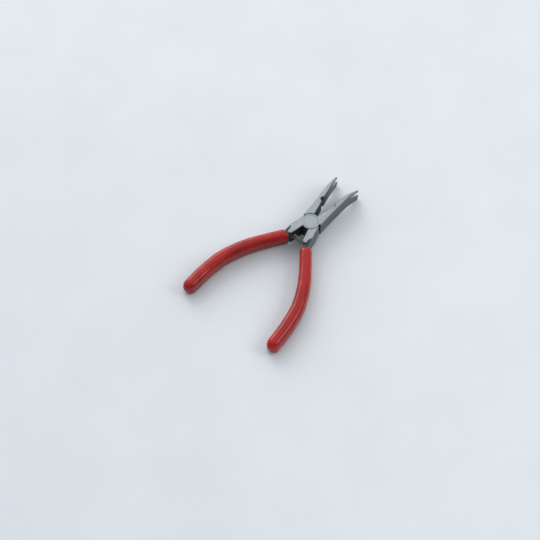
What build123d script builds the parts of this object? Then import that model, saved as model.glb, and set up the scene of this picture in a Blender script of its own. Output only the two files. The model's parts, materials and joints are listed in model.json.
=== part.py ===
from build123d import *
from math import cos, radians, sin, tan
import os

# Crimping pliers, lying flat and partly open. All sizes are in millimetres.
# Origin: where the pivot axis meets the underside of the joint. +Z: up, along the pivot
# axis. +Y: towards the jaws. The jaws open evenly about the YZ plane.
# Everything is drawn about the middle of the joint's thickness and raised at the end.
# Each lever is drawn closed, on a plane that is turned to the open position.

# Head
HEAD_T = 12.6          # thickness of the joint and of the jaws
REST_OPEN = 11.2       # degrees each lever is turned from closed to the drawn position
LAP_R = 6.25           # round end of each half lap
SHOULDER_R = 6.5       # hollow shoulder that clears the other lever's round end
SHOULDER_ANGLE = -12.5  # direction from the pivot of the handle's corner beside the joint
LAP_GAP = 0.04         # gap between the two lap faces
EDGE = 0.4             # bevel along the ground faces

# Jaws
JAW_LENGTH = 45.0      # to the end of the lower prong
UPPER_END_Y = 43.7     # end of the upper prong
JAW_RELIEF = 0.3       # inner face's distance from the centre plane at the joint
JAW_TOUCH = 0.02       # and at the tip, where the jaws meet first
TOP_BEND = (33.6, 25.5)  # where the top of the nose bends down, and by how many degrees
LOW_BEND = (31.8, 18.5)  # the same for its underside
BEND_R = 13.0
NOTCH_Y = 20.2         # half-round crimping notch
NOTCH_R = 2.0
SLOT_ROOT = (34.6, 2.55)  # bottom of the slot that forks the nose, along and up
SLOT_MOUTH = (-1.0, -7.2)  # top and bottom of the slot, 2 mm past the end
PRONG_TOP = (42.9, -4.04)  # where the lower prong's rounded front starts, along and up
PRONG_FRONT_Z = -7.2   # height of its foremost point
PRONG_LOW_Y = 42.3     # where the rounding runs into the underside

# Handles
BAR_ROOT_T = 11.6      # thickness of the handle beside the joint
BAR_T = 8.6            # thickness of the neck and of the bar inside the grip
BAR_HALF = (2.7, 3.1)  # half width of the bar at the neck and at the end
BAR_BEVEL = (1.5, 5.5)  # slope of the outer side, across and down
BAR_END = 0.93         # the bar stops this far along the centreline
HANDLE_CURVE = ((4.7, -17.2), (24.1, -55.4), (21.8, -65.5), (16.9, -95.9))

# Grips
GRIP_T = 11.2
GRIP_HALF = (4.15, 4.75, 4.45)  # half width at the mouth, middle and end
GRIP_START = {1: (0.017, 0.017), -1: (-0.004, 0.012)}  # mouth on the inner and outer side, by side
GRIP_ROUND = 3.9

# Rivet
RIVET_R = 2.6
RIVET_HEAD_R = 4.75
RIVET_HEAD_T = 1.8
RIVET_FIT = 0.01       # gap to the lever it is closed into
RIVET_RUNNING = 0.04   # gap to the lever that turns on it
HEAD_EDGE = 0.15

# Return spring
SPRING_Y = -13.0
SPRING_R = 1.75        # to the middle of the wire
SPRING_WIRE_R = 0.32
SPRING_TURNS = 9
SPRING_SPAN = 13.0
SEAT_R = 2.4
SEAT_SPAN = 13.2       # from the bottom of one seat to the bottom of the other

HALF_T = HEAD_T / 2
BIG = 60.0


def open_angle(side):
    """The lever with its handle on +X (side 1) turns anticlockwise, the other clockwise."""
    return side * REST_OPEN


def lever_plane(side, z=0.0):
    """A lever's own drawing plane at height z, turned to the drawn position."""
    angle = radians(open_angle(side))
    return Plane(origin=(0, 0, z), x_dir=(cos(angle), sin(angle), 0), z_dir=(0, 0, 1))


def profile_plane(side):
    """The upright plane along a lever's jaw: local X runs towards the tip, local Y is up."""
    angle = radians(open_angle(side))
    forward = Vector(-sin(angle), cos(angle), 0)
    return Plane(origin=(0, 0, 0), x_dir=forward, z_dir=forward.cross(Vector(0, 0, 1)))


def polar(radius, degrees):
    return (radius * cos(radians(degrees)), radius * sin(radians(degrees)))


def flip(points, sign):
    return [(sign * x, y) for x, y in points]


def beside_centreline(t, offset):
    """A point beside the handle's centreline; a positive offset is on the outer side."""
    a, b, c, d = (Vector(*point) for point in HANDLE_CURVE)
    u = 1 - t
    point = a * u**3 + b * (3 * u * u * t) + c * (3 * u * t * t) + d * t**3
    heading = ((b - a) * (u * u) + (c - b) * (2 * u * t) + (d - c) * (t * t)).normalized()
    return (point.X - heading.Y * offset, point.Y + heading.X * offset)


def bar_half(t):
    return BAR_HALF[0] + (BAR_HALF[1] - BAR_HALF[0]) * t


def grip_half(t):
    """Half width along the grip: a parabola through the three stated values."""
    mouth, middle, end = GRIP_HALF
    return mouth * (1 - t) * (1 - 2 * t) + middle * 4 * t * (1 - t) + end * t * (2 * t - 1)


def jaw_outline(side):
    """Top view of a jaw, from inside the joint to the tip."""
    root_in = (JAW_RELIEF, 2.0)
    tip_in = (JAW_TOUCH, JAW_LENGTH)
    tip_mid = (0.65, JAW_LENGTH)
    tip_out = (1.25, JAW_LENGTH - 1.4)
    corner = polar(7.5, 26)
    outer = [tip_out, (2.45, 32.0), (3.85, 21.6), (5.35, 11.0), (6.25, 6.0), corner]
    with BuildLine() as outline:
        Polyline(flip([polar(4, 26), root_in, tip_in, tip_mid], -side))
        Line(flip([tip_mid, tip_out], -side))
        Spline(flip(outer, -side))
        Line(flip([corner, polar(4, 26)], -side))
    return outline.edges()


def bent_line(z, bend):
    """Side view of the top or underside of a jaw: level, then bent down."""
    start, angle = bend
    end_y = JAW_LENGTH + 3
    end_z = z - (end_y - start) * tan(radians(angle))
    return FilletPolyline((-25, z), (start, z), (end_y, end_z), radius=BEND_R)


def side_profile():
    """Side view of the ground part of a lever."""
    with BuildLine() as outline:
        top = bent_line(HALF_T, TOP_BEND)
        bottom = bent_line(-HALF_T, LOW_BEND)
        add(top)
        add(bottom)
        Line(top @ 1, bottom @ 1)
        Line(top @ 0, bottom @ 0)
    return outline.edges()


def slot_profile():
    """Side view of the wedge-shaped slot in the nose."""
    root_y, root_z = SLOT_ROOT
    root_top = (root_y + 0.45, root_z + 0.45)
    root_low = (root_y + 0.35, root_z - 0.45)
    mouth_top = (JAW_LENGTH + 2, SLOT_MOUTH[0])
    mouth_low = (JAW_LENGTH + 2, SLOT_MOUTH[1])
    with BuildLine() as outline:
        ThreePointArc(root_top, SLOT_ROOT, root_low)
        Polyline(root_low, mouth_low, mouth_top, root_top)
    return outline.edges()


def nose_end():
    """Side view of what is cut away to shorten the upper prong and round off the lower one."""
    start, angle = LOW_BEND
    low = (PRONG_LOW_Y, -HALF_T - (PRONG_LOW_Y - start) * tan(radians(angle)))
    around = [low, (PRONG_LOW_Y, -BIG), (BIG, -BIG), (BIG, BIG)]
    around += [(UPPER_END_Y, BIG), (UPPER_END_Y, SLOT_MOUTH[0] - 1), PRONG_TOP]
    with BuildLine() as outline:
        ThreePointArc(PRONG_TOP, (JAW_LENGTH, PRONG_FRONT_Z), low)
        Polyline(around)
    return outline.edges()


def bar_profile():
    """Side view of a handle bar: thick beside the joint, thinner from the neck on."""
    thick, thin = BAR_ROOT_T / 2, BAR_T / 2
    with BuildLine() as outline:
        top = FilletPolyline((0, thick), (-12.5, thick), (-18.5, thin), (-100, thin), radius=5)
        low = FilletPolyline((0, -thick), (-12.5, -thick), (-18.5, -thin), (-100, -thin), radius=5)
        Line(top @ 0, low @ 0)
        Line(top @ 1, low @ 1)
    return outline.edges()


def pad_outline(side):
    """Top view of the full-thickness part of a handle, beside the joint."""
    inner = [(1.1, -4.5), (1.35, -10.5), (1.65, -15.4)]
    corner = polar(7.05, SHOULDER_ANGLE)
    outer = [(6.9, -12.0), (6.75, -8.0), (6.75, -4.0), corner]
    with BuildLine() as outline:
        Spline(flip(inner, side))
        ThreePointArc(flip([(1.65, -15.4), (3.0, -17.0), (4.9, -16.1)], side))
        ThreePointArc(flip([(4.9, -16.1), (5.35, -13.7), (6.9, -12.0)], side))
        Spline(flip(outer, side))
        Polyline(flip([corner, polar(3, -8), (1.1, -4.5)], side))
    return outline.edges()


def bar_outline(side):
    """Top view of a handle: a wide root at the joint, then the bar that the grip covers."""
    along = [0.03, 0.10, 0.22, 0.36, 0.50, 0.64, 0.78, BAR_END]
    inner = [(1.1, -4.5), (1.35, -10.5), (1.75, -15.5)]
    inner += [beside_centreline(t, -bar_half(t)) for t in along]
    outer = [polar(7.7, SHOULDER_ANGLE), (8.2, -5.0), (8.6, -9.5), (8.4, -14.0), (8.2, -17.4)]
    outer += [beside_centreline(t, bar_half(t)) for t in along[1:]]
    tip = beside_centreline(BAR_END + 0.025, 0)
    with BuildLine() as outline:
        Spline(flip(inner, side))
        ThreePointArc(flip([inner[-1], tip, outer[-1]], side))
        Spline(flip(outer, side))
        Polyline(flip([outer[0], polar(3, -8), inner[0]], side))
    return outline.edges()


def grip_outline(side):
    """Top view of a grip."""
    start_in, start_out = GRIP_START[side]
    along = [0.10, 0.22, 0.36, 0.50, 0.64, 0.78, 0.88, 0.955]
    inner = [beside_centreline(t, -grip_half(t)) for t in [start_in] + along]
    outer = [beside_centreline(t, grip_half(t)) for t in [start_out] + along]
    tip = beside_centreline(1.0, 0)
    with BuildLine() as outline:
        Spline(flip(inner, side))
        ThreePointArc(flip([inner[-1], tip, outer[-1]], side))
        Spline(flip(outer, side))
        Line(flip([outer[0], inner[0]], side))
    return outline.edges()


def long_edges(part, side, outer):
    """The top and bottom edges along one side of a bar."""
    plane = lever_plane(side)
    edges = [e for e in part.edges() if e.length > 40]
    edges.sort(key=lambda e: side * plane.to_local_coords(e.center()).X)
    return edges[-2:] if outer else edges[:2]


def ground_edges(part, side):
    """Edges of the flat ground faces, apart from the hollow shoulders and the bend's seam."""
    plane = lever_plane(side)
    level = [e for e in part.edges() if abs(abs(e.center().Z) - HALF_T) < 0.001]
    shoulders = [e for e in level if e.geom_type == GeomType.CIRCLE and abs(e.radius - SHOULDER_R) < 0.01]
    seams = [e for e in level if e.length < 8 and plane.to_local_coords(e.center()).Y > 25]
    return [e for e in level if e not in shoulders and e not in seams]


def make_bar(side):
    across, down = BAR_BEVEL
    with BuildPart() as bar:
        with BuildSketch(lever_plane(side, -BAR_ROOT_T / 2)):
            make_face(bar_outline(side))
        extrude(amount=BAR_ROOT_T)
        for edge in long_edges(bar, side, outer=True):
            flat = [f for f in bar.faces() if abs(f.normal_at().Z) > 0.9]
            flat = min(flat, key=lambda f: abs(f.center().Z - edge.center().Z))
            chamfer(edge, length=across, length2=down, reference=flat)
        with BuildSketch(profile_plane(side)):
            make_face(bar_profile())
        extrude(amount=BIG, both=True, mode=Mode.INTERSECT)
    return bar.part


def make_cutters(side, lap):
    """Nose slot, crimping notch, rivet hole and spring seat of one lever."""
    fit = RIVET_RUNNING if lap > 0 else RIVET_FIT
    head_z = lap * (HALF_T - RIVET_HEAD_T - LAP_GAP / 2)
    with BuildPart() as cutters:
        with BuildSketch(profile_plane(side)):
            make_face(slot_profile())
            make_face(nose_end())
        extrude(amount=BIG / 3, both=True)
        with BuildSketch(lever_plane(side, -BIG / 2)):
            with Locations((-side * JAW_RELIEF / 2, NOTCH_Y)):
                Circle(NOTCH_R)
        extrude(amount=BIG)
        with BuildSketch(Plane.XY.offset(-BIG / 2)):
            Circle(RIVET_R + fit)
        extrude(amount=BIG)
        with BuildSketch(Plane.XY.offset(head_z)):
            Circle(RIVET_HEAD_R + fit)
        extrude(amount=lap * HALF_T)
        with BuildSketch(Plane.YZ):
            with Locations((SPRING_Y, 0)):
                Circle(SEAT_R)
        extrude(amount=side * SEAT_SPAN / 2)
    return cutters.part


def make_lever(side, lap):
    """One lever. lap is 1 when its half of the joint is the upper one, -1 for the lower."""
    bar = make_bar(side)
    cutters = make_cutters(side, lap)
    with BuildPart() as lever:
        with BuildSketch(lever_plane(side, -BIG)):
            make_face(jaw_outline(side))
            make_face(pad_outline(side))
            Circle(LAP_R)
        extrude(amount=2 * BIG)
        with BuildSketch(profile_plane(side)):
            make_face(side_profile())
        extrude(amount=BIG, both=True, mode=Mode.INTERSECT)
        add(bar)
        # hollow shoulders and the missing half of the joint
        with BuildSketch(Plane.XY.offset(-lap * BIG + lap * LAP_GAP / 2)):
            Circle(SHOULDER_R)
        extrude(amount=lap * BIG, mode=Mode.SUBTRACT)
        chamfer(ground_edges(lever, side), length=EDGE)
        add(cutters, mode=Mode.SUBTRACT)
    return lever.part


def make_grip(side, lever):
    with BuildPart() as grip:
        with BuildSketch(lever_plane(side, -GRIP_T / 2)):
            make_face(grip_outline(side))
        extrude(amount=GRIP_T)
        rims = [e for e in grip.edges() if abs(abs(e.center().Z) - GRIP_T / 2) < 0.001]
        long_rims = [e for e in rims if abs(e.length - 2 * GRIP_HALF[0]) > 0.5]
        fillet(long_rims, radius=GRIP_ROUND)
        add(lever, mode=Mode.SUBTRACT)
    return grip.part


def make_rivet():
    with BuildPart() as rivet:
        with BuildSketch(Plane.XY.offset(-HALF_T)):
            Circle(RIVET_R)
        extrude(amount=HEAD_T)
        for lap in (1, -1):
            with BuildSketch(Plane.XY.offset(lap * (HALF_T - RIVET_HEAD_T))):
                Circle(RIVET_HEAD_R)
            extrude(amount=lap * RIVET_HEAD_T)
        rims = [e for e in rivet.edges() if abs(abs(e.center().Z) - HALF_T) < 0.001]
        chamfer(rims, length=HEAD_EDGE)
    return rivet.part


def make_spring():
    """The coil, with its path made of one helix per turn."""
    height = SPRING_SPAN - 2 * SPRING_WIRE_R
    pitch = height / SPRING_TURNS
    with BuildPart() as spring:
        with BuildLine() as coil:
            for turn in range(SPRING_TURNS):
                start = (turn * pitch - height / 2, SPRING_Y, 0)
                Helix(pitch, pitch, SPRING_R, center=start, direction=(1, 0, 0))
        first = coil.edges().sort_by(Axis.X)[0]
        with BuildSketch(Plane(origin=first @ 0, z_dir=first % 0)):
            Circle(SPRING_WIRE_R)
        sweep()
    return spring.part


lower_lever = make_lever(side=1, lap=-1)
upper_lever = make_lever(side=-1, lap=1)
pieces = {
    "left_jaw_lever": lower_lever,
    "right_jaw_lever": upper_lever,
    "pivot_rivet": make_rivet(),
    "return_spring": make_spring(),
    "right_grip": make_grip(1, lower_lever),
    "left_grip": make_grip(-1, upper_lever),
}

os.makedirs("parts", exist_ok=True)
for name, drawn in pieces.items():
    piece = Pos(0, 0, HALF_T) * drawn
    piece.label = name
    export_step(piece, f"parts/{name}.step")
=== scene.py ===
"""Crimping pliers: finishes, soft grips, spring, floor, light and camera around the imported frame."""
import json
import math

import bmesh
import bpy
from mathutils import Matrix, Vector

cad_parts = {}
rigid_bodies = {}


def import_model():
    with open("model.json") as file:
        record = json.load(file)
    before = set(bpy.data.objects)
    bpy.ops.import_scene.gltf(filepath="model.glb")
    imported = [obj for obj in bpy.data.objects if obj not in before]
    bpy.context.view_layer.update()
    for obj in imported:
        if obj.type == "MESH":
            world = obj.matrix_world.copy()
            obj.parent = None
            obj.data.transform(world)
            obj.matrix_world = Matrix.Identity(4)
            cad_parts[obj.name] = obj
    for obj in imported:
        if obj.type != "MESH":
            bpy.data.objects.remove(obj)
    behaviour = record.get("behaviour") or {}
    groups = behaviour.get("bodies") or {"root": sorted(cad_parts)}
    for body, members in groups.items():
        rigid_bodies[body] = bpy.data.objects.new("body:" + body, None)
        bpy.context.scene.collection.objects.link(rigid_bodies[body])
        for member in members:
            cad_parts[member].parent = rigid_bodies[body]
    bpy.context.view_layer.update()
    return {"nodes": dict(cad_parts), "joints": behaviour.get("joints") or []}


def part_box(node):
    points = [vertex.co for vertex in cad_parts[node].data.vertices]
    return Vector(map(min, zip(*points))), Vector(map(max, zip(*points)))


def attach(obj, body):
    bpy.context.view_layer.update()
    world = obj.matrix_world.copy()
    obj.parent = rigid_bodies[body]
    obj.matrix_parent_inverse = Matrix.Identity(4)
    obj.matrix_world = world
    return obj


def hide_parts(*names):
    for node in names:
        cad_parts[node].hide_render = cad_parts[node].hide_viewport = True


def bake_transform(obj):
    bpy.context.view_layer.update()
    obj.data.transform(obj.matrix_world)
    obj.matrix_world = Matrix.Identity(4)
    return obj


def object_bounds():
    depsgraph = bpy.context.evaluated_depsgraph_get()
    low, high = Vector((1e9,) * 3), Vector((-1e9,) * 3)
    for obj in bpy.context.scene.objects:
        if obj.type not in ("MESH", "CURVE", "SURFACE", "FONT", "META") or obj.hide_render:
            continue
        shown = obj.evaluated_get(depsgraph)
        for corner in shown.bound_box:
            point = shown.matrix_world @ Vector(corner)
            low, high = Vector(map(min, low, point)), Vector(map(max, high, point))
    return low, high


MM = 0.001

# The drawing of the levers, in millimetres and degrees, each one closed: x across, y along the jaw.
# Side 1 is the lever with its handle on +X, and side -1 is its mirror image.
REST_OPEN = 11.2        # each lever is turned this far from closed to the drawn position
HANDLE_CURVE = ((4.7, -17.2), (24.1, -55.4), (21.8, -65.5), (16.9, -95.9))
BAR_ROOT_T = 11.6       # thickness of the handle beside the joint
BAR_T = 8.6             # and inside the grip
BAR_HALF = (2.7, 3.1)   # half width of the bar at the neck and at the end
BAR_BEVEL = (1.5, 5.5)  # slope of the outer side, across and down
BAR_END = 0.93          # the bar stops at this share of the curve

# Steel finishes and painted shade: where each one starts and where it is full, in the same drawing
GROUND_HEIGHT = (5.95, 6.05)  # up or down from the joint's middle: the flats that are ground bright
GROUND_NOSE = (26.0, 27.0)    # along: from here on the bent nose is ground too
HANDLE_PART = (-2.0, -4.5)    # along: the handle
JAW_PART = (2.0, 4.0)         # along: the jaw
BEHIND_NOTCH = (18.6, 17.8)   # along: the black stretch of painted shade on the jaw's inner side ends at the notch
NOSE_SHADE = (33.0, 24.0)     # along: past it, painted shade still darkens the inner side towards the notch
NOSE_SHADE_TOP = (0.5, 4.5)   # up from the joint's middle: and more so near the top edge
NOSE_BLACK = (0.25, 0.75)     # how black the painted shade gets, low down and near the top edge
RECESS_WIDTH = (7.4, 6.9)     # across: the lower face beside the ground flat
RECESS_BLACK = 0.85
SHOULDER_R = (6.8, 6.6)       # from the pivot: painted shade in the hollow shoulder, and the lap inside it
ROOT_END_R = (9.0, 8.6)       # from the pivot: painted shade on the handle's end face beside the joint
# and how well a face's direction has to agree, as a cosine
FACING_UP = (0.55, 0.72)
FACING_IN_JAW = (0.5, 0.7)
FACING_IN_HANDLE = (0.2, -0.3)
FACING_ALONG = (0.6, 0.8)

# Steel colours; a pair is the darker and the lighter end of a finish
GROUND_LINES = ((0.225, 0.251, 0.255, 1), (0.40, 0.434, 0.436, 1))
GROUND_SCRATCH = (0.50, 0.53, 0.53, 1)
GROUND_STAIN = (0.215, 0.235, 0.235, 1)
GROUND_MOTTLE = (0.25, 0.275, 0.278, 1)
SATIN = ((0.145, 0.163, 0.166, 1), (0.215, 0.238, 0.240, 1))
# the black of the oxide, also used as painted shade in the gaps and hollows near the joint and between
# the jaws
OXIDE_AND_SHADE = ((0.050, 0.063, 0.066, 1), (0.090, 0.110, 0.114, 1))
WORN_EDGE = (0.3332, 0.34, 0.3468, 1)
RIVET = ((0.245, 0.272, 0.279, 1), (0.40, 0.436, 0.444, 1))
RIVET_MOTTLE = (0.25, 0.274, 0.281, 1)
WIRE = ((0.33, 0.315, 0.29, 1), (0.50, 0.48, 0.45, 1))
WIRE_DULL = (0.30, 0.27, 0.24, 1)

# Vinyl colours
VINYL = ((0.28, 0.0060, 0.0040, 1), (0.44, 0.0090, 0.0055, 1))
VINYL_SCUFF = (0.42, 0.05, 0.045, 1)
VINYL_DUST = (0.6, 0.35, 0.32, 1)
VINYL_UNDERSIDE_SHADE = (0.10, 0.0035, 0.0030, 1)
UNDERSIDE_SHADE_FADE = 7.0    # painted shade: millimetres up from the underside over which the vinyl darkens

# Grips, in millimetres; a place along a grip is a share of the handle's curve
MOUTH = {1: (0.017, 0.0), -1: (0.004, 0.008)}  # by side: where the grip starts, and how much it slants
SLANT_REACH = 0.05      # the slant dies out over this share
GRIP_HALF = (4.15, 4.75, 4.45)  # half width at the mouth, middle and end
GRIP_T = 11.2
WAVE_ROOM = 0.05        # the skin is drawn this much smaller, to leave room for its waves
WAVES = (0.055, 0.03)   # heights of the long and the short waves
BEAD = (0.16, 0.024, 0.010)  # thicker rim near the mouth: its height, place and reach
LIP = 1.1               # length of the rounded edge at the mouth
LIP_RAGGED = (0.16, 0.07)  # how far that edge strays, in two and in five waves round it
END_WIDE = (5.2, 2.15)  # length over which the closed end rounds off, and the power of its curve
END_TALL = (5.8, 2.3)   # the same, seen from the side
SQUARE_INNER = 3.1      # how square the section is towards the other handle
SQUARE_OUTER = 2.1      # and on the outer side, over the sloping side of the bar
SQUARE_UNDER = 4.6      # and on the underside, which is flatter
HOLLOW = (0.10, 0.3, 1.7)  # shallow hollow along the top and underside: its depth, place and reach
HOLLOW_FADE = 8         # the higher, the faster the hollow fades down the sides
BORE_GAP = 0.03         # between the bore and the bar
BORE_START = 0.02       # the bore is drawn from here, counted from the mouth
BORE_FULL = 0.01        # and to here at full size, counted from the bar's end
BORE_NARROW = (0.022, 0.75)  # then a smaller ring: its place, and its share of the size
BORE_BOTTOM = 0.03      # and the middle of the closed bottom
RING_POINTS = 56        # points round a ring
SKIN_RINGS = 96         # steps along the skin, and those of each other stretch
END_RINGS = 16
LIP_RINGS = 7
BORE_RINGS = 24

# Spring, in millimetres
SPRING_R = 1.75         # to the middle of the wire
WIRE_R = 0.32
SPRING_TURNS = 9
CLOSED_TURNS = 0.9      # turns at each end that lie flat in the seat
CLOSED_PITCH = 2.06     # and their pitch, in wire radii
PER_TURN = 30           # rings of points in a turn
WIRE_POINTS = 12        # points round the wire

# Floor, light and camera, in metres and degrees
FLOOR_HALF = 3.0
FLOOR = ((0.735, 0.768, 0.790, 1), (0.765, 0.798, 0.820, 1))
WORLD_COLOUR = (0.915, 0.955, 1.0, 1)
WORLD_BRIGHT = (-0.78, 0.60, 0.22)  # direction in which the surround is brightest
WORLD_STRENGTH = (0.39, 1.50)       # away from that direction, and in it
WORLD_SPREAD = (-0.1, 1.0)          # cosines between which it brightens
CAMERA_AZIMUTH = 37.9
CAMERA_ELEVATION = 60.7
CAMERA_DISTANCE = 0.7
CAMERA_LENS = 70.0      # focal length in millimetres
LOOK_AT = Vector((-0.00059, -0.04411, 0.0063))  # near the middle of the tool

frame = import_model()
pivot = frame["joints"][0]
MID_Z = pivot["pos_m"][2] / MM
UNDERSIDE_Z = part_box("left_grip")[0].z


# ---------------------------------------------------------------- material helpers

class Shader:
    """A material's node tree, with short calls for the nodes used here."""

    def __init__(self, name):
        self.material = bpy.data.materials.new(name)
        self.material.use_nodes = True
        self.nodes = self.material.node_tree.nodes
        self.links = self.material.node_tree.links
        self.bsdf = self.nodes["Principled BSDF"]

    def node(self, kind, **inputs):
        made = self.nodes.new("ShaderNode" + kind)
        for key, value in inputs.items():
            self.feed(made.inputs[key.replace("_", " ")], value)
        return made

    def feed(self, socket, value):
        if isinstance(value, bpy.types.NodeSocket):
            self.links.new(value, socket)
        else:
            socket.default_value = value

    def math(self, operation, *values, clamp=False):
        made = self.nodes.new("ShaderNodeMath")
        made.operation = operation
        made.use_clamp = clamp
        for socket, value in zip(made.inputs, values):
            self.feed(socket, value)
        return made.outputs[0]

    def product(self, first, *others):
        for value in others:
            first = self.math("MULTIPLY", first, value)
        return first

    def greatest(self, first, *others):
        for value in others:
            first = self.math("MAXIMUM", first, value)
        return first

    def radius(self, x, y):
        """Distance from the pivot axis."""
        squares = [self.math("POWER", value, 2.0) for value in (x, y)]
        return self.math("SQRT", self.math("ADD", *squares))

    def ramp(self, value, low, high, out_low=0.0, out_high=1.0):
        """value mapped smoothly from low..high to out_low..out_high."""
        made = self.nodes.new("ShaderNodeMapRange")
        made.interpolation_type = "SMOOTHSTEP"
        for socket, number in zip(made.inputs, (value, low, high, out_low, out_high)):
            self.feed(socket, number)
        return made.outputs["Result"]

    def mix(self, factor, a, b):
        made = self.nodes.new("ShaderNodeMix")
        made.data_type = "RGBA"
        self.feed(made.inputs["Factor"], factor)
        self.feed(made.inputs["A"], a)
        self.feed(made.inputs["B"], b)
        return made.outputs["Result"]

    def noise(self, where, scale, detail=4.0, roughness=0.6):
        made = self.node("TexNoise", Vector=where, Scale=scale, Detail=detail, Roughness=roughness)
        return made.outputs["Fac"]

    def streaks(self, where, stretch, scale, detail=6.0, roughness=0.7):
        """Noise drawn out along one direction, as grinding leaves it."""
        mapped = self.node("Mapping", Vector=where, Scale=stretch)
        return self.noise(mapped.outputs[0], scale, detail, roughness)

    def rounded(self, radius):
        """The normal with sharp edges rounded off."""
        made = self.node("Bevel", Radius=radius)
        made.samples = 6
        return made.outputs[0]

    def bump(self, height, strength, distance, normal=None):
        made = self.node("Bump", Height=height, Strength=strength, Distance=distance)
        if normal is not None:
            self.links.new(normal, made.inputs["Normal"])
        return made.outputs[0]

    def set(self, **inputs):
        for key, value in inputs.items():
            self.feed(self.bsdf.inputs[key.replace("_", " ")], value)


# ---------------------------------------------------------------- steel

def turn_to_lever(s, vector, side):
    """A vector turned into the closed lever's frame."""
    turned = s.node("VectorRotate", Vector=vector)
    turned.rotation_type = "Z_AXIS"
    s.feed(turned.inputs["Angle"], -math.radians(side * REST_OPEN))
    return turned.outputs[0]


def lever_coordinates(s, side):
    """Position in a closed lever's frame in mm, then its parts: across, along and up.

    Across is positive on the side of that lever's handle. Up is counted from the joint's middle.
    """
    scaled = s.node("VectorMath", Vector=s.node("TexCoord").outputs["Object"])
    scaled.operation = "SCALE"
    s.feed(scaled.inputs["Scale"], 1 / MM)
    where = turn_to_lever(s, scaled.outputs[0], side)
    x, y, z = s.node("SeparateXYZ", Vector=where).outputs
    return where, s.math("MULTIPLY", x, side), y, s.math("SUBTRACT", z, MID_Z)


def lever_normal(s, side):
    """The face normal in the same frame: across, along and up, the last two without their sign."""
    normal = turn_to_lever(s, s.node("TexCoord").outputs["Normal"], side)
    x, y, z = s.node("SeparateXYZ", Vector=normal).outputs
    return s.math("MULTIPLY", x, side), s.math("ABSOLUTE", y), s.math("ABSOLUTE", z)


def lever_masks(s, side, across, along, height):
    """Where a lever is ground bright, and where it is black: partly black oxide, partly painted shade
    in the gaps and hollows near the joint and along the jaws' inner sides. The rest is satin.
    """
    normal_across, normal_along, normal_up = lever_normal(s, side)
    radius = s.radius(across, along)
    level = s.ramp(normal_up, *FACING_UP)
    full_height = s.ramp(s.math("ABSOLUTE", height), *GROUND_HEIGHT)
    ground = s.product(level, s.greatest(full_height, s.ramp(along, *GROUND_NOSE)))

    handle = s.ramp(along, *HANDLE_PART)
    # the handle's inner side is black: partly oxide, partly painted shade
    inner_handle = s.product(handle, s.ramp(normal_across, *FACING_IN_HANDLE))
    lower_face = s.math("SUBTRACT", level, full_height, clamp=True)
    recess = s.product(handle, lower_face, s.ramp(across, *RECESS_WIDTH), RECESS_BLACK)
    inner_side = s.product(s.ramp(along, *JAW_PART), s.ramp(normal_across, *FACING_IN_JAW))
    # painted shade: the jaw's inner side is black from the joint to the notch
    inner_jaw_shade = s.product(inner_side, s.ramp(along, *BEHIND_NOTCH))
    # painted shade on the nose's inner side, deeper towards the notch and the top edge
    nose_shade = s.product(s.ramp(along, *NOSE_SHADE), s.ramp(height, *NOSE_SHADE_TOP, *NOSE_BLACK))
    inner_nose_shade = s.product(inner_side, nose_shade)
    # painted shade in the hollow shoulder and on the end faces beside the joint
    shoulder_shade = s.ramp(radius, *SHOULDER_R)
    root_end_shade = s.product(s.ramp(radius, *ROOT_END_R), s.ramp(normal_along, *FACING_ALONG))
    return ground, s.greatest(inner_handle, inner_jaw_shade, inner_nose_shade, shoulder_shade, root_end_shade, recess)


def edge_wear(s, mottle):
    """1 along sharp edges, where the finish has rubbed thin, broken up by mottle."""
    bevel = s.node("Bevel", Radius=0.35 * MM)
    bevel.samples = 4
    facing = s.node("VectorMath", Vector=bevel.outputs[0])
    facing.operation = "DOT_PRODUCT"
    s.feed(facing.inputs[1], s.node("NewGeometry").outputs["Normal"])
    edge = s.ramp(facing.outputs["Value"], 0.985, 0.90)
    return s.product(edge, s.ramp(mottle, 0.38, 0.6))


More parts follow.
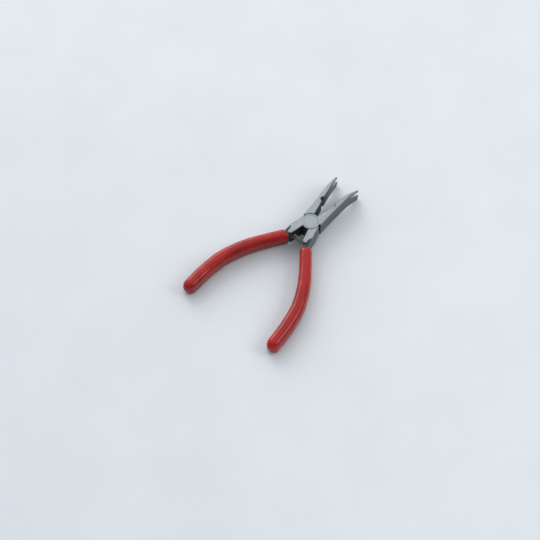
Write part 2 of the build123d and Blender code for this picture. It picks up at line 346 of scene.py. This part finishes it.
def make_tool_steel(name, side):
    """Ground bright top and bottom, satin grey outer sides, and black inside and behind the flats:
    partly black oxide, partly painted shade.
    """
    s = Shader(name)
    where, across, along, height = lever_coordinates(s, side)
    ground, oxide_and_shade = lever_masks(s, side, across, along, height)

    fine = s.streaks(where, (1.0, 0.05, 1.0), 9.0)
    coarse = s.streaks(where, (1.0, 0.03, 1.0), 2.4)
    grain = s.math("ADD", s.product(fine, 0.45), s.product(coarse, 0.55))
    cross = s.streaks(where, (0.25, 1.0, 1.0), 3.0)
    mottle = s.noise(where, 0.9, detail=5.0)
    stain = s.noise(where, 0.28, detail=6.0)
    pores = s.noise(where, 7.0, detail=3.0)

    bright = s.mix(s.ramp(grain, 0.36, 0.64), *GROUND_LINES)
    bright = s.mix(s.ramp(cross, 0.60, 0.74, 0.0, 0.45), bright, GROUND_SCRATCH)
    bright = s.mix(s.ramp(stain, 0.52, 0.72, 0.0, 0.45), bright, GROUND_STAIN)
    bright = s.mix(s.ramp(mottle, 0.35, 0.75, 0.0, 0.35), bright, GROUND_MOTTLE)
    satin = s.mix(s.ramp(pores, 0.3, 0.7), *SATIN)
    oxide_and_shade_colour = s.mix(s.ramp(mottle, 0.35, 0.7), *OXIDE_AND_SHADE)
    # black oxide, and painted shade in the gaps and hollows, laid over the satin
    dark = s.mix(oxide_and_shade, satin, oxide_and_shade_colour)
    dark = s.mix(s.product(edge_wear(s, mottle), 0.55), dark, WORN_EDGE)

    rough_ground = s.ramp(grain, 0.3, 0.7, 0.27, 0.46)
    rough_dark = s.ramp(pores, 0.3, 0.7, 0.46, 0.62)
    rougher = s.product(ground, s.math("SUBTRACT", rough_ground, rough_dark))

    relief = s.bump(s.product(ground, grain), 0.5, 0.03 * MM, s.rounded(0.14 * MM))
    relief = s.bump(s.product(ground, cross), 0.15, 0.02 * MM, relief)
    skin = s.product(s.math("SUBTRACT", 1.0, ground), pores)
    relief = s.bump(skin, 0.4, 0.05 * MM, relief)
    s.set(
        Base_Color=s.mix(ground, dark, bright),
        Metallic=0.92,
        Roughness=s.math("ADD", rougher, rough_dark),
        Normal=relief,
    )
    return s.material


def make_rivet_steel(name):
    """Turned and ground flush: faint rings about the axis under the grinding lines."""
    s = Shader(name)
    where, across, along, _ = lever_coordinates(s, -1)
    outwards = s.product(s.radius(across, along), 3.2)
    rings = s.noise(s.node("CombineXYZ", X=outwards).outputs[0], 1.0, detail=5.0)
    grain = s.streaks(where, (0.06, 1.0, 1.0), 9.0)
    mottle = s.noise(where, 0.8)
    tone = s.math("ADD", s.product(rings, 0.6), s.product(grain, 0.4))
    colour = s.mix(s.ramp(tone, 0.38, 0.62), *RIVET)
    colour = s.mix(s.ramp(mottle, 0.4, 0.75, 0.0, 0.3), colour, RIVET_MOTTLE)
    relief = s.bump(rings, 0.3, 0.02 * MM, s.rounded(0.12 * MM))
    relief = s.bump(grain, 0.2, 0.02 * MM, relief)
    s.set(Base_Color=colour, Metallic=0.95, Roughness=s.ramp(tone, 0.3, 0.7, 0.3, 0.42), Normal=relief)
    return s.material


def make_spring_steel(name):
    """Bright drawn wire with fine draw marks and a few dull patches."""
    s = Shader(name)
    where = s.node("TexCoord").outputs["Object"]
    draw = s.noise(where, 2600.0, detail=4.0)
    patches = s.noise(where, 420.0, detail=3.0)
    colour = s.mix(s.ramp(draw, 0.3, 0.7), *WIRE)
    colour = s.mix(s.ramp(patches, 0.5, 0.75, 0.0, 0.5), colour, WIRE_DULL)
    s.set(
        Base_Color=colour,
        Metallic=0.95,
        Roughness=s.ramp(patches, 0.3, 0.8, 0.2, 0.45),
        Normal=s.bump(draw, 0.25, 0.01 * MM),
    )
    return s.material


# ---------------------------------------------------------------- vinyl

def make_dipped_vinyl(name):
    """Glossy dipped vinyl: deep red, slight orange peel, scuffs and dust, a little light passing in,
    and painted shade darkening it towards the underside.
    """
    s = Shader(name)
    where = s.node("TexCoord").outputs["Object"]
    peel = s.noise(where, 900.0, detail=2.0)
    waves = s.noise(where, 130.0, detail=2.0)
    cloud = s.noise(where, 60.0, detail=4.0)
    scuffed = s.ramp(s.streaks(where, (1.0, 0.25, 1.0), 700.0, detail=8.0, roughness=0.6), 0.58, 0.74)
    dust = s.node("TexVoronoi", Vector=where, Scale=1500.0).outputs["Distance"]
    speck = s.product(s.ramp(dust, 0.10, 0.04), s.ramp(cloud, 0.52, 0.6))
    height = s.node("SeparateXYZ", Vector=where).outputs[2]
    # painted shade: the vinyl darkens towards its underside
    shade = s.ramp(height, UNDERSIDE_Z + UNDERSIDE_SHADE_FADE * MM, UNDERSIDE_Z, 0.0, 0.75)

    colour = s.mix(s.ramp(cloud, 0.3, 0.7), *VINYL)
    colour = s.mix(s.product(scuffed, 0.12), colour, VINYL_SCUFF)
    colour = s.mix(s.product(speck, 0.25), colour, VINYL_DUST)
    colour = s.mix(shade, colour, VINYL_UNDERSIDE_SHADE)
    relief = s.bump(waves, 0.25, 0.25 * MM)
    relief = s.bump(peel, 0.08, 0.05 * MM, relief)
    s.set(
        Base_Color=colour,
        Roughness=s.math("ADD", s.ramp(waves, 0.3, 0.7, 0.15, 0.20), s.product(scuffed, 0.06)),
        IOR=1.33,
        Normal=relief,
        Subsurface_Weight=0.10,
        Subsurface_Scale=0.6 * MM,
        Subsurface_Radius=(1.0, 0.25, 0.2),
        Coat_Weight=0.26,
        Coat_Roughness=0.05,
    )
    return s.material


# ---------------------------------------------------------------- grips

def curve_point(t):
    a, b, c, d = (Vector(p) for p in HANDLE_CURVE)
    u = 1 - t
    return a * u**3 + b * (3 * u * u * t) + c * (3 * u * t * t) + d * t**3


def curve_heading(t):
    a, b, c, d = (Vector(p) for p in HANDLE_CURVE)
    u = 1 - t
    return 3 * ((b - a) * (u * u) + (c - b) * (2 * u * t) + (d - c) * (t * t))


def grip_half(t):
    """Half width along the grip: a parabola through the three stated values."""
    mouth, middle, end = GRIP_HALF
    return mouth * (1 - t) * (1 - 2 * t) + middle * 4 * t * (1 - t) + end * t * (2 * t - 1)


def bar_half(t):
    return BAR_HALF[0] + (BAR_HALF[1] - BAR_HALF[0]) * t


def place(t, across, height):
    """The point beside the handle's curve at t, in the closed lever's frame."""
    heading = curve_heading(t).normalized()
    origin = curve_point(t)
    return Vector((origin.x - heading.y * across, origin.y + heading.x * across, height))


def ring_angles():
    """The directions of a ring's points, counted from the outer side."""
    return [2 * math.pi * k / RING_POINTS for k in range(RING_POINTS)]


def skin_section(half, tall, angle, crown=1.0):
    """A point of the rounded section in that direction."""
    c, s = math.cos(angle), math.sin(angle)
    square = (SQUARE_OUTER + SQUARE_INNER) / 2 + (SQUARE_OUTER - SQUARE_INNER) / 2 * c
    if s < 0:
        square += (SQUARE_UNDER - square) * min(1.0, -2 * s)
    across = math.copysign(abs(c) ** (2 / square), c) * half
    height = math.copysign(abs(s) ** (2 / square), s) * tall
    depth, middle, reach = HOLLOW
    hollow = depth * crown * math.exp(-((across - middle) / reach) ** 2)
    return across, height - math.copysign(hollow, s) * abs(s) ** HOLLOW_FADE


def bore_section(t, angle):
    """The point on the bore that faces the skin's point."""
    skin_across, skin_height = skin_section(grip_half(t), GRIP_T / 2, angle)
    return bar_section(t, math.atan2(skin_height, skin_across))


def bar_section(t, angle):
    """The bar's section, a gap larger, in that direction. Its outer side slopes."""
    half = bar_half(t) + BORE_GAP
    tall = BAR_T / 2 + BORE_GAP
    across, down = BAR_BEVEL
    c, s = math.cos(angle), math.sin(angle)
    tiny = 1e-9
    reach = min(half / max(abs(c), tiny), tall / max(abs(s), tiny))
    if c > 0:
        # the slope's line: it is widest where the slope ends, down from the root's full height
        level = half / across + (BAR_ROOT_T / 2 - down) / down
        reach = min(reach, level / (c / across + abs(s) / down))
    return reach * c, reach * s


def slanted(t, angle, mouth):
    """Where a ring's point lies along the grip, so that the rings follow the slanted mouth."""
    start, slant = mouth
    return t + slant * math.cos(angle) * math.exp(-max(0.0, t - start) / SLANT_REACH)


def waviness(t, angle, start):
    """Slow thickness changes of a dipped skin, and the thicker rim near its mouth."""
    long_wave = math.sin(23 * t + 1.3 * math.cos(angle) + 0.4)
    short_wave = math.sin(51 * t + 2.1 * math.sin(angle) + 1.9)
    height, past_mouth, reach = BEAD
    bead = height * math.exp(-((t - start - past_mouth) / reach) ** 2)
    return WAVES[0] * long_wave + WAVES[1] * short_wave + bead


def end_scale(distance, length, power):
    """1 away from the closed end, falling to 0 at it along a superellipse."""
    if distance >= length:
        return 1.0
    return max(0.0, 1 - (1 - distance / length) ** power) ** (1 / power)


def outer_ring(t, mouth):
    """Outer skin at t, with the closed end rounded."""
    distance = (1 - t) * curve_heading(1.0).length
    wide = end_scale(distance, *END_WIDE)
    tall = end_scale(distance, *END_TALL)
    ring = []
    for angle in ring_angles():
        extra = waviness(t, angle, mouth[0]) - WAVE_ROOM
        section = skin_section((grip_half(t) + extra) * wide, (GRIP_T / 2 + extra) * tall, angle, wide)
        ring.append(place(slanted(t, angle, mouth), *section))
    return ring


def lip_ring(share, mouth):
    """Rounded edge of the mouth: share 0 is the full skin, 1 meets the bar."""
    turn = share * math.pi / 2
    blend = math.cos(turn)
    start = mouth[0]
    speed = curve_heading(start).length
    ring = []
    for angle in ring_angles():
        ragged = LIP_RAGGED[0] * math.sin(2 * angle + 0.7) + LIP_RAGGED[1] * math.sin(5 * angle)
        t = start + (LIP * (1 - math.sin(turn)) + ragged * share) / speed
        extra = waviness(t, angle, start) - WAVE_ROOM
        outer = skin_section(grip_half(t) + extra, GRIP_T / 2 + extra, angle)
        inner = bar_section(t, math.atan2(outer[1], outer[0]))
        across = inner[0] + (outer[0] - inner[0]) * blend
        height = inner[1] + (outer[1] - inner[1]) * blend
        ring.append(place(slanted(t, angle, mouth), across, height))
    return ring


def bore_ring(t, mouth, scale=1.0):
    """Inside of the grip, against the bar."""
    ring = []
    for angle in ring_angles():
        across, height = bore_section(t, angle)
        ring.append(place(slanted(t, angle, mouth), across * scale, height * scale))
    return ring


def close_with_fan(bm, ring, centre):
    tip = bm.verts.new(centre)
    for k, vert in enumerate(ring):
        bm.faces.new((vert, ring[(k + 1) % len(ring)], tip))


def bridge(bm, rings):
    for a, b in zip(rings, rings[1:]):
        for k in range(len(a)):
            n = (k + 1) % len(a)
            bm.faces.new((a[k], a[n], b[n], b[k]))


def finish_mesh(bm, name, material):
    """Turns a closed bmesh into a smooth-shaded object."""
    bmesh.ops.recalc_face_normals(bm, faces=bm.faces)
    mesh = bpy.data.meshes.new(name)
    bm.to_mesh(mesh)
    bm.free()
    mesh.polygons.foreach_set("use_smooth", [True] * len(mesh.polygons))
    made = bpy.data.objects.new(name, mesh)
    bpy.context.scene.collection.objects.link(made)
    mesh.materials.append(material)
    return made


def skin_stations(first):
    """Even steps along the grip, then closer ones round the closed end."""
    start = first + LIP / curve_heading(first).length
    turn = 1 - END_WIDE[0] / curve_heading(1.0).length
    even = [start + (turn - start) * k / SKIN_RINGS for k in range(1, SKIN_RINGS)]
    curved = [turn + (1 - turn) * math.sin(math.pi / 2 * k / END_RINGS) for k in range(END_RINGS)]
    return even + curved


def bore_stations(first):
    start, end = first + BORE_START, BAR_END + BORE_FULL
    return [start + (end - start) * k / BORE_RINGS for k in range(BORE_RINGS + 1)]


def make_grip(name, side, body, node, material):
    """A dipped grip as one closed skin: outside, rounded mouth and the bore that holds the bar."""
    mouth = MOUTH[side]
    narrow_at, narrow_size = BORE_NARROW
    rings = [outer_ring(t, mouth) for t in reversed(skin_stations(mouth[0]))]
    rings += [lip_ring(k / LIP_RINGS, mouth) for k in range(LIP_RINGS + 1)]
    rings += [bore_ring(t, mouth) for t in bore_stations(mouth[0])]
    rings += [bore_ring(BAR_END + narrow_at, mouth, narrow_size)]
    to_rest = (
        Matrix.Scale(MM, 4)
        @ Matrix.Translation((0, 0, MID_Z))
        @ Matrix.Rotation(math.radians(side * REST_OPEN), 4, "Z")
        @ Matrix.Diagonal((side, 1, 1, 1))
    )
    bm = bmesh.new()
    verts = [[bm.verts.new(to_rest @ point) for point in ring] for ring in rings]
    bridge(bm, verts)
    close_with_fan(bm, verts[0], to_rest @ place(1.0, 0, 0))
    close_with_fan(bm, verts[-1], to_rest @ place(BAR_END + BORE_BOTTOM, 0, 0))
    grip = finish_mesh(bm, name, material)
    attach(grip, body)
    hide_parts(node)


# ---------------------------------------------------------------- spring

def coil_axial(turns, length):
    """Distance along the axis after so many turns; the end turns lie nearly flat."""
    flat_pitch = CLOSED_PITCH * WIRE_R
    last_open = SPRING_TURNS - CLOSED_TURNS
    open_pitch = (length - 2 * CLOSED_TURNS * flat_pitch) / (last_open - CLOSED_TURNS)
    flat_turns = min(turns, CLOSED_TURNS) + max(0.0, turns - last_open)
    open_turns = max(0.0, min(turns, last_open) - CLOSED_TURNS)
    return flat_turns * flat_pitch + open_turns * open_pitch


def make_spring(material):
    """Coil spring with closed ends, seated in both handles. It stretches between them."""
    low, high = (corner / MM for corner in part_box("return_spring"))
    centre = (low + high) / 2
    length = high.x - low.x - 2 * WIRE_R
    steps = SPRING_TURNS * PER_TURN
    coil = []
    for k in range(steps + 1):
        turns = k / PER_TURN
        angle = 2 * math.pi * turns
        x = low.x + WIRE_R + coil_axial(turns, length)
        radial = Vector((0, math.cos(angle), math.sin(angle)))
        coil.append((Vector((x, centre.y, centre.z)) + radial * SPRING_R, radial))
    bm = bmesh.new()
    rings = []
    for k, (point, radial) in enumerate(coil):
        before = coil[max(k - 1, 0)][0]
        after = coil[min(k + 1, steps)][0]
        sideways = (after - before).normalized().cross(radial).normalized()
        ring = []
        for j in range(WIRE_POINTS):
            angle = 2 * math.pi * j / WIRE_POINTS
            offset = radial * math.cos(angle) + sideways * math.sin(angle)
            ring.append(bm.verts.new((point + offset * WIRE_R) * MM))
        rings.append(ring)
    bridge(bm, rings)
    close_with_fan(bm, rings[0], coil[0][0] * MM)
    close_with_fan(bm, rings[-1], coil[-1][0] * MM)
    spring = finish_mesh(bm, "coil_spring", material)
    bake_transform(spring)
    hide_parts("return_spring")


# ---------------------------------------------------------------- floor, light, camera

def make_floor():
    """A pale floor, tilted to meet the nose tips and the grip ends that the tool stands on."""
    low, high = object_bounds()
    lever_low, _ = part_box("left_jaw_lever")
    rise = (UNDERSIDE_Z - lever_low.z) / (high.y - low.y)
    bm = bmesh.new()
    bmesh.ops.create_grid(bm, x_segments=2, y_segments=2, size=FLOOR_HALF)
    mesh = bpy.data.meshes.new("floor")
    bm.to_mesh(mesh)
    bm.free()
    floor = bpy.data.objects.new("floor", mesh)
    bpy.context.scene.collection.objects.link(floor)
    floor.location = (0, high.y, lever_low.z)
    floor.rotation_euler = (-math.atan(rise), 0, 0)
    s = Shader("pale_paper")
    where = s.node("TexCoord").outputs["Object"]
    cloud = s.noise(where, 14.0, detail=5.0)
    fibre = s.noise(where, 900.0, detail=3.0)
    s.set(
        Base_Color=s.mix(s.ramp(cloud, 0.3, 0.7), *FLOOR),
        Roughness=0.8,
        Specular_IOR_Level=0.2,
        Normal=s.bump(fibre, 0.2, 0.1 * MM),
    )
    mesh.materials.append(s.material)


def aim(obj, target):
    obj.rotation_mode = "QUATERNION"
    obj.rotation_quaternion = (target - obj.location).to_track_quat("-Z", "Y")


def make_light(name, direction, distance, size, power):
    """A soft square light in that direction from the middle of the tool."""
    light = bpy.data.lights.new(name, "AREA")
    light.shape = "SQUARE"
    light.size = size
    light.energy = power
    made = bpy.data.objects.new(name, light)
    bpy.context.scene.collection.objects.link(made)
    made.location = LOOK_AT + Vector(direction).normalized() * distance
    aim(made, LOOK_AT)


def make_world():
    """A soft surround, brightest low down behind the tool and darkest on the viewer's side."""
    world = bpy.data.worlds.new("studio")
    world.use_nodes = True
    nodes, links = world.node_tree.nodes, world.node_tree.links
    where = nodes.new("ShaderNodeTexCoord").outputs["Generated"]
    facing = nodes.new("ShaderNodeVectorMath")
    facing.operation = "DOT_PRODUCT"
    facing.inputs[1].default_value = Vector(WORLD_BRIGHT).normalized()
    links.new(where, facing.inputs[0])
    spread = nodes.new("ShaderNodeMapRange")
    spread.interpolation_type = "SMOOTHSTEP"
    links.new(facing.outputs["Value"], spread.inputs["Value"])
    for key, value in zip(("From Min", "From Max", "To Min", "To Max"), WORLD_SPREAD + WORLD_STRENGTH):
        spread.inputs[key].default_value = value
    background = nodes["Background"]
    background.inputs["Color"].default_value = WORLD_COLOUR
    links.new(spread.outputs["Result"], background.inputs["Strength"])
    bpy.context.scene.world = world


def make_camera():
    azimuth, elevation = math.radians(CAMERA_AZIMUTH), math.radians(CAMERA_ELEVATION)
    level = math.cos(elevation)
    back = Vector((math.sin(azimuth) * level, -math.cos(azimuth) * level, math.sin(elevation)))
    lens = bpy.data.cameras.new("camera")
    lens.lens = CAMERA_LENS
    lens.sensor_width = 36.0
    lens.clip_start = 0.01
    camera = bpy.data.objects.new("camera", lens)
    bpy.context.scene.collection.objects.link(camera)
    camera.location = LOOK_AT + back * CAMERA_DISTANCE
    aim(camera, LOOK_AT)
    bpy.context.scene.camera = camera


# ---------------------------------------------------------------- the scene

def paint(node, material):
    """Gives a CAD node its finish."""
    mesh = frame["nodes"][node].data
    mesh.materials.clear()
    mesh.materials.append(material)


paint("left_jaw_lever", make_tool_steel("tool_steel_left_jaw", 1))
paint("right_jaw_lever", make_tool_steel("tool_steel_right_jaw", -1))
paint("pivot_rivet", make_rivet_steel("rivet_steel"))
vinyl = make_dipped_vinyl("dipped_vinyl")
make_grip("right_grip_skin", 1, pivot["parent"], "right_grip", vinyl)
make_grip("left_grip_skin", -1, pivot["child"], "left_grip", vinyl)
make_spring(make_spring_steel("spring_steel"))

make_floor()
make_world()
make_light("key", direction=(-0.85, 0.42, 0.66), distance=1.1, size=0.6, power=2.8)
make_light("side", direction=(0.62, 0.42, 0.62), distance=1.2, size=0.6, power=3.7)
make_camera()
bpy.context.scene.view_settings.view_transform = "Standard"
